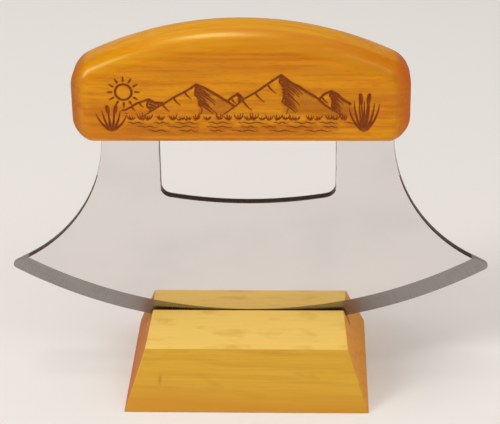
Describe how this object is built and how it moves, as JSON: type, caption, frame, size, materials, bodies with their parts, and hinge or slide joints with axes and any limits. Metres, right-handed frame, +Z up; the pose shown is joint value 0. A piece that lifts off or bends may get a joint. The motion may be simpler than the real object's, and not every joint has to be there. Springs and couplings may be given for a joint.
{
  "type": "ulu knife",
  "caption": "Crescent ulu knife with a finger window under an arched wooden handle, standing in a slotted wooden display block and lifting straight out of it.",
  "frame": {"origin": "centre of the display block's underside, on the surface that it stands on", "axes": "+X along the blade from tip to tip, to the right as seen from the engraved side; +Y away from that side; +Z up"},
  "size_m": [0.1524, 0.059, 0.1196],
  "materials": {
    "polished_steel": "mirror-polished stainless steel with a ground edge",
    "lacquered_wood": "amber hardwood under satin lacquer, with a burnt-brown engraving",
    "cured_adhesive": "clear amber two-part adhesive",
    "bare_wood": "pale hardwood, sanded and thinly oiled"
  },
  "bodies": {
    "stand": {"stand": "bare_wood"},
    "knife": {"blade": "polished_steel", "handle": "lacquered_wood", "left_tang_bond": "cured_adhesive", "right_tang_bond": "cured_adhesive"}
  },
  "joints": [
    {"name": "knife_lift", "type": "slide", "parent": "stand", "child": "knife", "axis": [0, 0, 1], "range_m": [0, 0.06]}
  ]
}
